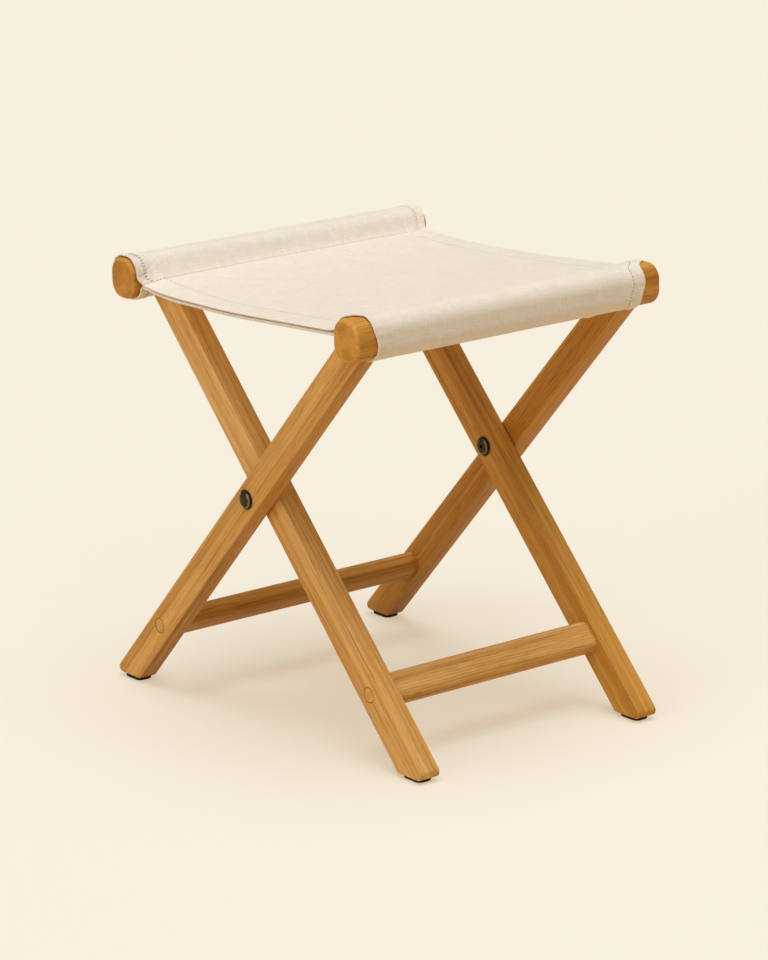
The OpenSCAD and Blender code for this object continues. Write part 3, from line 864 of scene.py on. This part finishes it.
# Where the sleeves leave their rails, and how hard the bend pulls
LEAVE_RING, SNUG_TURN, PULL, SNUG_PULL, SLEEVE_SHORT = 50.0, 36.0, 0.95, 0.45, 12.0
# Where the under layer turns back, and how far it hangs below the upper one
TURN_OFF, LAYER_DROP, NEAR_DROOP, END_RISE = 9.0, 3.5, 0.5, 0.6


def strip_line(y):
    """Points in X and Z along the strip at this place across the stool, with their stretches."""
    names, line = [], []

    def add(name, points):
        points = list(points)[1 if line else 0:]
        names.extend([name] * len(points))
        line.extend(points)

    seat, lift, arrive = seat_points(y)
    tucked = seat[0] - TUCKED
    first = 2 * QUARTER + FLAT_TOP + FLAT_SIDE + START_DOWN
    start = around_rail(-RAIL_X, first)
    down = around_rail(-RAIL_X, first + 0.5) - start
    reach = np.linalg.norm(start - tucked)
    down = down / np.linalg.norm(down) * reach
    add("flap", curve(tucked, start, reach * way(FLAP_ANGLE), down, 8))
    leave = LEAVE_RING + SNUG_TURN * snug(y)
    last = AROUND + QUARTER + FLAT_TOP + QUARTER * leave / 90
    add("left sleeve", [around_rail(-RAIL_X, s) for s in np.linspace(first, last, RING_STEPS)])
    out, slope = seat[2], (seat[3] - seat[2]) / np.linalg.norm(seat[3] - seat[2])
    reach = np.linalg.norm(out - line[-1])
    arrival = (PULL - SNUG_PULL * snug(y)) * reach * slope
    add("bend", curve(line[-1], out, PULL * reach * way(-leave), arrival, 16))
    xs = np.linspace(out[0], seat[-1][0], UPPER_STEPS)
    add("upper", np.stack([xs, np.interp(xs, seat[:, 0], seat[:, 1])], axis=1))
    top = around_rail(RAIL_X, QUARTER * lift / 90)
    gap = np.linalg.norm(top - line[-1])
    add("upper", curve(line[-1], top, gap * way(arrive), gap * way(90 - lift), 9))
    places = np.linspace(QUARTER * lift / 90, AROUND - SLEEVE_SHORT, RING_STEPS)
    add("right sleeve", [around_rail(RAIL_X, s) for s in places])
    xs = np.linspace(RAIL_X - RAIL_W / 2 - TURN_OFF, tucked[0], UNDER_STEPS)
    drop = LAYER_DROP + NEAR_DROOP * snug(y) * np.clip((xs + 150) / 40, 0, 1)
    drop -= END_RISE * np.clip((seat[0][0] + 14 - xs) / 14, 0, 1)
    below = np.stack([xs, np.interp(xs, seat[:, 0], seat[:, 1]) - drop], axis=1)
    slope = (below[0] - below[1]) / np.linalg.norm(below[0] - below[1])
    add("turn", curve(line[-1], below[0], (0, 7), -8 * slope, 8))
    add("under", below)
    return np.array(line), names


middle_line, STRETCHES = strip_line(0.0)
ROWS = len(STRETCHES)
LENGTH_AT = np.concatenate([[0], np.cumsum(np.linalg.norm(np.diff(middle_line, axis=0), axis=1))])

# %% [markdown]
# The strip isn't equally wide. Its edges lie close to the rails' ends, draw in over the outer side
# of the right rail, and are cut back where the outer legs come in under it.

# %% How wide each row is


def rows(name, after=0, before=0):
    """The rows of a stretch, without so many at its start and at its end."""
    found = [i for i, stretch in enumerate(STRETCHES) if stretch == name]
    return range(found[0] + after, found[-1] + 1 - before)


SHOULDER_OUT, LOWER_IN, UNDER_IN = 2.0, 4.0, 1.0
DRAWN_IN = {-1: 12.0, 1: 15.0}


def half_width(i, side):
    """Distance of a row's edge from the middle, on the near (-1) or far (1) side."""
    name, (x, z) = STRETCHES[i], middle_line[i]
    if name == "right sleeve":
        if z < RAIL_Z and x < RAIL_X:
            return NOTCH
        turned_over = eased(x, RAIL_X - 6, RAIL_X + RAIL_W / 2 - 7) if z > RAIL_Z else 1.0
        lower = eased(z, RAIL_Z + 8, RAIL_Z - 8)
        start = SEAT_HALF + SHOULDER_OUT * eased(x, RAIL_X - 14, RAIL_X - 6)
        return start - DRAWN_IN[side] * turned_over - LOWER_IN * lower
    if name == "turn":
        wider = float(np.clip((i - rows(name)[0] - 3) / 2, 0, 1))
        return NOTCH + (SEAT_HALF - UNDER_IN - NOTCH) * wider
    if name == "under":
        return SEAT_HALF - UNDER_IN
    if name in ("left sleeve", "bend"):
        if side < 0:
            return SEAT_HALF + 4.5 * eased(z, RAIL_Z - 1, RAIL_Z + 9)
        inward = eased(x, -RAIL_X - 8, -RAIL_X + 8)
        return SEAT_HALF + 5.5 * inward * eased(z, RAIL_Z - 3, RAIL_Z + 20)
    return SEAT_HALF


HALVES = {side: [half_width(i, side) for i in range(ROWS)] for side in (-1, 1)}
print(f"near edges lie {min(HALVES[-1]):.0f} to {max(HALVES[-1]):.0f} mm from the middle")

# %% [markdown]
# Real cloth is never perfectly even. Small waves run along the seams, where stitching gathers it,
# and the seat has slow hollows, which the under layer shares with the layer above it: its outer
# side faces down, so it moves the other way along its normal. The hem is thicker, and stitching
# presses a groove into it.

# %% Laying the strip out
CLOTH_T, HEM_T, UNDER_HEM_T = 1.05, 2.0, 3.2


def sleeve_hem(i):
    """The hem's width on the sleeve that this row belongs or leads to."""
    return 17.5 if STRETCHES[i] in ("upper", "right sleeve") else 13.5


def bell(x, width):
    return math.exp(-((x / width) ** 2))


def on_rail(i):
    """1 where the cloth lies on a rail, 0 on the seat and smooth between them."""
    name, x = STRETCHES[i], middle_line[i][0]
    if name == "bend":
        return eased(x, SEAM_X - 1, SEAM_X - 9)
    if name == "upper":
        return eased(x, RAIL_X - 34, RAIL_X - 16)
    return 0.0 if name in ("under", "turn") else 1.0


SEAT_X, SEAT_LENGTH = middle_line[rows("upper"), 0], LENGTH_AT[rows("upper")]


def gathers(height, distance, width, turns, shift, spot):
    """Waves in a band along a seam or an edge. A shift keeps them from being regular."""
    wander = shift[0] * noise.noise(spot * shift[1])
    return height * bell(distance, width) * math.sin(turns + wander)


def ripple(i, y, from_edge):
    """How far the cloth stands off its smooth line, along its normal, in millimetres.

    On the seat: slow hollows, gathers at the seam and along the hem, and the hem's groove. On
    a sleeve: the same, fine waves at the edge, a groove under the stitches and a flared edge
    below. Last comes the lobe that pushes out beside the far outer leg.
    """
    name = STRETCHES[i]
    x, z = middle_line[i]
    s = LENGTH_AT[i]
    if name == "under":
        s = float(np.interp(x, SEAT_X, SEAT_LENGTH))
    spot = Vector((s * 0.011, y * 0.011, 3.7))
    held = on_rail(i)
    seat = 0.6 * noise.noise(spot)
    if name != "under":
        seat += gathers(0.22, x - SEAM_X - 6, 9, y * 0.55, (4, 4), spot)
        seat += gathers(0.14, from_edge - HEM, 6, x * 0.62, (5, 5), spot)
        seat -= 0.32 * bell(from_edge - HEM, 1.0)
    if name in ("turn", "under"):
        seat = -seat
    sleeve = 0.3 * noise.noise(spot * 1.4) + 0.1
    sleeve += gathers(0.2, from_edge - 6, 6, s * 0.8, (4, 5), spot)
    sleeve += gathers(0.22, from_edge - 3, 2.5, s * 1.1, (2, 9), spot)
    sleeve -= 0.3 * bell(from_edge - sleeve_hem(i) + 3, 1.3)
    flare = 1.3 if y < 0 else 0.7
    sleeve += flare * bell(from_edge, 3.5) * eased(z, RAIL_Z - 19, RAIL_Z - 15)
    off = held * sleeve + (1 - held) * seat
    if name == "right sleeve" and z < RAIL_Z:
        below = eased(z, RAIL_Z - 16, RAIL_Z - 22) * eased(x, RAIL_X + 2, RAIL_X - 8)
        off += below * 6.5 * bell(y - 116, 17)
    return off


def thickness(i, from_edge):
    name = STRETCHES[i]
    wide = sleeve_hem(i)
    if name in ("under", "bend"):
        wide = HEM
    elif name == "upper":
        wide = HEM + (wide - HEM) * on_rail(i)
    fold = eased(from_edge, wide + 0.9, wide - 0.3)
    most = UNDER_HEM_T if name == "under" else HEM_T
    full = CLOTH_T + (most - CLOTH_T) * fold
    round_off = min(1.0, from_edge / (full / 2))
    return full * max(0.12, math.sqrt(1 - (1 - round_off) ** 2))


grid_y = np.array([columns(near, far) for near, far in zip(HALVES[-1], HALVES[1])])
COLUMNS = grid_y.shape[1]
drawn_at = np.linspace(-SEAT_HALF, SEAT_HALF, 60)
drawn = np.array([strip_line(float(y))[0] for y in drawn_at])
middle = np.zeros((ROWS, COLUMNS, 3))
for i in range(ROWS):
    middle[i, :, 0] = np.interp(grid_y[i], drawn_at, drawn[:, i, 0])
    middle[i, :, 1] = grid_y[i]
    middle[i, :, 2] = np.interp(grid_y[i], drawn_at, drawn[:, i, 1])
print(len(drawn), "lines were drawn, and", ROWS * COLUMNS, "points lie between them")

# %% Giving it thickness
along = np.gradient(middle, axis=0)
across = np.gradient(middle, axis=1)
normals = np.cross(along, across)
normals /= np.linalg.norm(normals, axis=2)[:, :, None] + 1e-12
if normals[rows("upper")[20], COLUMNS // 2, 2] < 0:
    normals = -normals
outer, inner = np.zeros_like(middle), np.zeros_like(middle)
for i in range(ROWS):
    for j in range(COLUMNS):
        from_edge = float(FROM_NEAREST[j])
        centre = middle[i, j] + normals[i, j] * ripple(i, float(grid_y[i, j]), from_edge)
        t = thickness(i, from_edge)
        outer[i, j] = centre + normals[i, j] * t / 2
        inner[i, j] = centre - normals[i, j] * t / 2


def is_slot(i, j):
    """Quads that are cut out where the inner legs pass through the left sleeve."""
    y = abs(float(grid_y[i, j] + grid_y[i, j + 1])) / 2
    x, z = (middle_line[i] + middle_line[i + 1]) / 2
    low = z < INNER_TOP + 1.5 and x > -RAIL_X - 3
    return STRETCHES[i] in ("flap", "left sleeve") and low and SLOT_IN < y < SLOT_OUT


kept = {(i, j) for i in range(ROWS - 1) for j in range(COLUMNS - 1) if not is_slot(i, j)}
faces, sides = [], {}
layer = ROWS * COLUMNS
for i, j in sorted(kept):
    a, d = i * COLUMNS + j, (i + 1) * COLUMNS + j
    b, c = a + 1, d + 1
    faces += [(a, b, c, d), (layer + d, layer + c, layer + b, layer + a)]
    for p, q in ((a, b), (b, c), (c, d), (d, a)):
        sides[(p, q)] = sides.get((q, p)) is None
        if (q, p) in sides:
            sides.pop((p, q))
            sides.pop((q, p))
faces += [(q, p, layer + p, layer + q) for p, q in sides]
print(len(faces), "faces,", ROWS * COLUMNS - len(kept), "quads cut or spare")

# %% [markdown]
# ## Undyed canvas
# A plain weave: threads pass over and under each other, some of them thicker than their
# neighbours. The weave follows the strip's own map, so it turns around the rails with the cloth.
# Two stretched noises give the thick threads in both directions.

# %% The canvas's finish
THREAD = 0.00085


def woven(name, light, dark, fleck_and_gap_shade):
    f = Finish(name)
    cloth = f.put("ShaderNodeUVMap", {"uv_map": "strip"})
    u, v, _ = f.parts(cloth)
    warp = (u * (math.pi / THREAD)).math("SINE")
    weft = (v * (math.pi / THREAD)).math("SINE")
    over = (warp * weft).between(-0.5, 0.5)
    threads = over * (1 - warp * warp * 0.8) + (1 - over) * (1 - weft * weft * 0.8)
    slub_u = f.noise(cloth, (70, 1100, 1), detail=3, roughness=0.65)
    slub_v = f.noise(cloth, (1100, 70, 1), detail=3, roughness=0.65)
    thick_u = f.noise(cloth, (45, 620, 1), detail=2)
    thick_v = f.noise(cloth, (620, 45, 1), detail=2)
    cloud = f.noise(cloth, (45, 45, 1), detail=5, roughness=0.7)
    fleck = f.noise(cloth, (300, 900, 1), detail=2, roughness=0.7).between(0.6, 0.72)
    uneven = (slub_u + slub_v) * 0.5
    tone = f.blend(uneven.between(0.36, 0.62), dark, light)
    tone = f.blend((thick_u.between(0.56, 0.72) + thick_v.between(0.56, 0.72)) * 0.2, tone, dark)
    tone = f.blend(cloud.between(0.42, 0.62) * 0.35, tone, dark)
    tone = f.blend(fleck * 0.38, tone, fleck_and_gap_shade)
    # painted shade: the hollows between the threads are darkened a little with the fleck colour
    tone = f.blend((1 - threads) * 0.12, tone, fleck_and_gap_shade)
    height = threads * 0.55 + uneven * 0.9 + thick_u * 0.5 + thick_v * 0.5
    return f.surface(
        Base_Color=tone,
        Roughness=0.86 + 0.1 * uneven,
        Specular_IOR_Level=0.18,
        Sheen_Weight=0.12,
        Sheen_Roughness=0.6,
        Normal=f.bump(height, 0.5, 0.0005),
    )


FLAX, SHADED_FLAX = colour(0.96, 0.87, 0.745), colour(0.83, 0.73, 0.60)
HUSK_AND_GAP_SHADE = colour(0.5, 0.40, 0.27)
CANVAS = woven("undyed canvas", FLAX, SHADED_FLAX, HUSK_AND_GAP_SHADE)
print("canvas woven at", THREAD * 1000, "mm a thread")

# %% The canvas itself
verts = np.concatenate([outer.reshape(-1, 3), inner.reshape(-1, 3)])
canvas = new_piece("canvas", verts, faces, CANVAS)
cloth_map = canvas.data.uv_layers.new(name="strip")
strip_u = np.repeat(LENGTH_AT, COLUMNS) * MM
strip_v = grid_y.reshape(-1) * MM
for loop in canvas.data.loops:
    spot = loop.vertex_index % layer
    cloth_map.data[loop.index].uv = (strip_u[spot], strip_v[spot])
bm = bmesh.new()
bm.from_mesh(canvas.data)
bmesh.ops.delete(bm, geom=[v for v in bm.verts if not v.link_faces], context="VERTS")
bmesh.ops.recalc_face_normals(bm, faces=bm.faces)
bm.to_mesh(canvas.data)
bm.free()
canvas.data.shade_smooth()
canvas.data.set_sharp_from_angle(angle=math.radians(75))
print("canvas:", len(canvas.data.polygons), "faces")

# %% [markdown]
# ## Stitching
# Hems and seams are sewn with a thread. It is painted darker than the cloth, as painted shade in
# the dimples that the stitches press in. Each line of stitches is a path on the cloth, and Geometry
# Nodes set one small lens-shaped stitch at every pitch along it, turned along the path. The pitch
# and the stitch's size are inputs of the tree.

# %% Paths on the cloth


def on_cloth(i, from_edge, side):
    """A point on the cloth's outer side in row i, this far from its near (-1) or far (1) edge."""
    y = side * (HALVES[side][i] - from_edge)
    row = grid_y[i]
    j = int(np.clip(np.searchsorted(row, y) - 1, 0, COLUMNS - 2))
    share = (y - row[j]) / (row[j + 1] - row[j])
    return outer[i, j] * (1 - share) + outer[i, j + 1] * share


seam_row = min(rows("bend", before=1), key=lambda i: abs(middle_line[i][0] - SEAM_X))
sleeve_rows = range(rows("left sleeve")[0], seam_row - 1)
# Distances from the edge, with the rows that a line of stitches follows on both sides
LINES = (
    (HEM, rows("upper", before=5)),
    (9.6, sleeve_rows),
    (11.4, sleeve_rows),
    (12.0, rows("under", 6, 5)),
)
paths = [
    [on_cloth(i, from_edge, side) for i in found] for side in (-1, 1) for from_edge, found in LINES
]
down = [i for i in rows("right sleeve", -2, 1) if HALVES[1][i] > NOTCH + 5]
paths.append([on_cloth(i, 14.5, 1) for i in down])
sewn = [j for j in range(COLUMNS) if 1 - SEAT_HALF < grid_y[seam_row, j] < SEAT_HALF - HEM]
paths.append([outer[seam_row, j] for j in sewn])
points = [p for path in paths for p in path]
edges, start = [], 0
for path in paths:
    edges += [(start + k, start + k + 1) for k in range(len(path) - 1)]
    start += len(path)
mesh = bpy.data.meshes.new("stitch paths")
mesh.from_pydata([tuple(p * MM) for p in points], edges, [])
sewing = in_scene("canvas_stitching", mesh)
print(len(paths), "lines of stitches")

# %% The thread's finish


def sewing_thread(name):
    """Nearly as pale as the cloth, paler on the seam, dark on the sleeves and the near corner.

    The darker thread is painted shade of the stitches' dimples, and on the near corner a painted
    shadow of the crease. The places where it changes are measured in metres.
    """
    f = Finish(name)
    spot = f.spot()
    twist = f.noise(spot, (2600,) * 3, detail=1)
    x, y, _ = f.parts(spot)
    on_left = (0 - x).between(0.1545, 0.158) * (0 - y).between(0.0, 0.05)
    on_sleeve = on_left + x.between(0.1545, 0.158)
    # painted shadow: dark stitches along the near corner's crease stand for the crease's shade
    crease_shadow = (0 - y).between(0.149, 0.151) * (0 - x).between(0.140, 0.145)
    # painted shade: the thread is darker than the cloth for the shade in the stitches' dimples
    faint = f.blend(twist, colour(0.56, 0.46, 0.34), colour(0.7, 0.6, 0.47))
    dark_shade = f.blend(twist, colour(0.22, 0.15, 0.085), colour(0.42, 0.32, 0.21))
    on_seam = (0 - x).between(0.133, 0.137) * (0 - x).between(0.150, 0.146)
    on_seam = on_seam * y.between(-0.12, -0.02)
    pale = f.blend(on_seam * 0.85, faint, colour(0.86, 0.76, 0.62))
    tone = f.blend(on_sleeve + crease_shadow, pale, dark_shade)
    return f.surface(Base_Color=tone, Roughness=0.8, Specular_IOR_Level=0.2)


STITCH = {"Pitch": 0.0034, "Stitch length": 0.0025, "Thread width": 0.0009}
print("a stitch every", STITCH["Pitch"] / MM, "mm")

# %% The stitches' tree


def stitch_tree(material):
    tree = bpy.data.node_groups.new("stitches", "GeometryNodeTree")
    face = tree.interface
    face.new_socket("Geometry", in_out="INPUT", socket_type="NodeSocketGeometry")
    for label in STITCH:
        face.new_socket(label, in_out="INPUT", socket_type="NodeSocketFloat")
    face.new_socket("Geometry", in_out="OUTPUT", socket_type="NodeSocketGeometry")

    def add(kind, sockets=None, **settings):
        return new_node(tree, kind, settings, sockets).outputs

    given = add("NodeGroupInput")
    line = add("GeometryNodeMeshToCurve", {"Mesh": given["Geometry"]})[0]
    pitch = {"Curve": line, "Length": given["Pitch"]}
    spots = add("GeometryNodeCurveToPoints", pitch, mode="LENGTH")
    bead = add("GeometryNodeMeshUVSphere", {"Segments": 8, "Rings": 4, "Radius": 0.5})[0]
    width, length = given["Thread width"], given["Stitch length"]
    size = add("ShaderNodeCombineXYZ", {0: width, 1: width, 2: length})[0]
    stitch = add("GeometryNodeTransform", {"Geometry": bead, "Scale": size})[0]
    laid = {"Points": spots["Points"], "Instance": stitch, "Rotation": spots["Rotation"]}
    sewn = add("GeometryNodeInstanceOnPoints", laid)[0]
    real = add("GeometryNodeRealizeInstances", {"Geometry": sewn})[0]
    smooth = add("GeometryNodeSetShadeSmooth", {"Geometry": real})[0]
    done = add("GeometryNodeSetMaterial", {"Geometry": smooth, "Material": material})[0]
    add("NodeGroupOutput", {0: done})
    return tree


sew = sewing.modifiers.new("stitches", "NODES")
sew.node_group = stitch_tree(sewing_thread("sewing thread"))
for item in sew.node_group.interface.items_tree:
    if item.name in STITCH:
        sew[item.identifier] = STITCH[item.name]
bake_modifiers(sewing)
print("stitching:", len(sewing.data.polygons), "faces")

# %% [markdown]
# ## Cloth across the joint
# The left sleeve wraps the inner frame's rail and the right one the outer frame's. The canvas and
# its stitching get their places baked into their meshes, and the imported cloth solids are hidden.

# %% The cloth's place baked in
for piece in (canvas, sewing):
    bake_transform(piece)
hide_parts("left_sleeve", "right_sleeve", "seat_upper_layer", "seat_under_layer")

# %% [markdown]
# ## Parts that stay inside
# Dowels, screws, tacks and spacer washers are kept as the solids they are. They hardly show, but
# each gets a fitting finish.

# %% Finishes for the hidden parts


def plain_metal(name, tone, rough):
    f = Finish(name)
    brushed = f.noise(f.spot(), (300, 60, 300), detail=3)
    shade = f.blend(brushed, colour(*(0.8 * c for c in tone)), colour(*tone))
    return f.surface(Base_Color=shade, Metallic=1.0, Roughness=rough + 0.1 * brushed)


STEEL = plain_metal("plain steel", (0.5, 0.5, 0.5), 0.4)
DOWEL = wood("wood dowel", ALONG_RIGHT, (4.1, 0.2, 0.3), (4.0, 0.25), 0.3)
for node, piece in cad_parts.items():
    if not piece.hide_render:
        piece.data.materials.clear()
        metal = BRASS if "washer" in node else STEEL
        piece.data.materials.append(DOWEL if "dowels" in node else metal)
        print("kept as it is:", node)

# %% [markdown]
# ## Floor, light and camera
# The photograph is a plain studio picture: cream floor and background in one tone, broad soft
# light and a long lens. One wide floor fills the whole frame. Where it is seen it glows a little,
# so that it keeps its even cream and its shadows stay light, and the stool gets no light from
# that. The light is four broad panels: one overhead, one from the right, a low one in front and
# a weak one behind. They were chosen by rendering each panel alone and weighing the pictures
# against the photograph.

# %% Cream floor
bpy.ops.mesh.primitive_plane_add(size=60, location=(0, 0, 0))
floor = bpy.context.object
floor.name = "floor"
FLOOR_TONE, MOTTLED_TONE = colour(0.823, 0.918, 0.913), colour(0.815, 0.91, 0.905)
GLOW_TONE = colour(1.0, 0.79, 0.558)
THROWN_BACK = colour(0.75, 0.60, 0.40)
SHADOW_SHARE = 0.45


def floor_finish():
    """Plain cream. Where it is seen, a part of it glows evenly, which keeps the shadows light."""
    f = Finish("cream floor")
    mottle = f.noise(f.spot(), (3, 3, 3), detail=2)
    tone = f.blend(mottle, FLOOR_TONE, MOTTLED_TONE)
    f.surface(Base_Color=tone, Roughness=0.95, Specular_IOR_Level=0.0)
    plain = f.find("BSDF_PRINCIPLED")
    seen, mirrored, through = (
        f.put("ShaderNodeLightPath", out=f"Is {ray} Ray")
        for ray in ("Camera", "Glossy", "Transmission")
    )
    watched = seen.math("MAXIMUM", mirrored).math("MAXIMUM", through)
    f.tree.links.new(f.blend(watched, THROWN_BACK, tone).socket, plain.inputs["Base Color"])
    glow = f.put("ShaderNodeEmission", {}, {"Color": GLOW_TONE, "Strength": 1.0})
    shares = {0: watched * (1 - SHADOW_SHARE), 1: Value(f, plain.outputs[0]), 2: glow}
    mixed = f.put("ShaderNodeMixShader", {}, shares)
    f.tree.links.new(mixed.socket, f.find("OUTPUT_MATERIAL").inputs["Surface"])
    return f.material


floor.data.materials.append(floor_finish())
print("floor laid")

# %% Lamps and world
# Each is as broad, in degrees, as the part of the sky that it stands for
for name, toward, strength, spread in (
    ("overhead panel", (0.0, 0.0, 1.0), 1.78, 50),
    ("right panel", (0.6, -0.3, 1.0), 0.97, 60),
    ("low front panel", (0.0, -1.0, 0.3), 1.1, 50),
    ("back panel", (0.1, 0.7, 1.0), 0.35, 60),
):
    panel = bpy.data.lights.new(name, "SUN")
    panel.energy = strength
    panel.angle = math.radians(spread)
    in_scene(name, panel).rotation_euler = Vector(toward).to_track_quat("Z", "Y").to_euler()
world = bpy.data.worlds.new("studio")
bpy.context.scene.world = world
world.use_nodes = True
backdrop = world.node_tree.nodes["Background"].inputs
backdrop["Color"].default_value = colour(1.0, 0.86, 0.64)
backdrop["Strength"].default_value = 0.03
print("four broad panels over a faint glow")

# %% Camera
TURN, HEIGHT, ROLL = (math.radians(a) for a in (52.36, 15.48, -1.18))
STANDS = (3.00094, -2.318, 1.27389)
# The focal length in the photograph's pixels becomes one in millimetres of a sensor
FOCAL_PIXELS, PICTURE_PIXELS, SENSOR = 3963.83, 960, 36
FOCAL = FOCAL_PIXELS / PICTURE_PIXELS * SENSOR
back = Vector((
    math.sin(TURN) * math.cos(HEIGHT), -math.cos(TURN) * math.cos(HEIGHT), math.sin(HEIGHT),
))
right = Vector((math.cos(TURN), math.sin(TURN), 0))
up = back.cross(right)
right, up = (
    right * math.cos(ROLL) + up * math.sin(ROLL),
    up * math.cos(ROLL) - right * math.sin(ROLL),
)
camera_data = bpy.data.cameras.new("camera")
camera_data.lens = FOCAL
camera_data.sensor_width = SENSOR
camera_data.clip_end = 200
camera = in_scene("camera", camera_data)
matrix = camera.matrix_world.to_3x3()
matrix.col[0], matrix.col[1], matrix.col[2] = right, up, back
camera.matrix_world = matrix.to_4x4()
camera.location = STANDS
bpy.context.scene.camera = camera
bpy.context.scene.view_settings.view_transform = "Standard"
print("lens", round(FOCAL, 1), "mm")
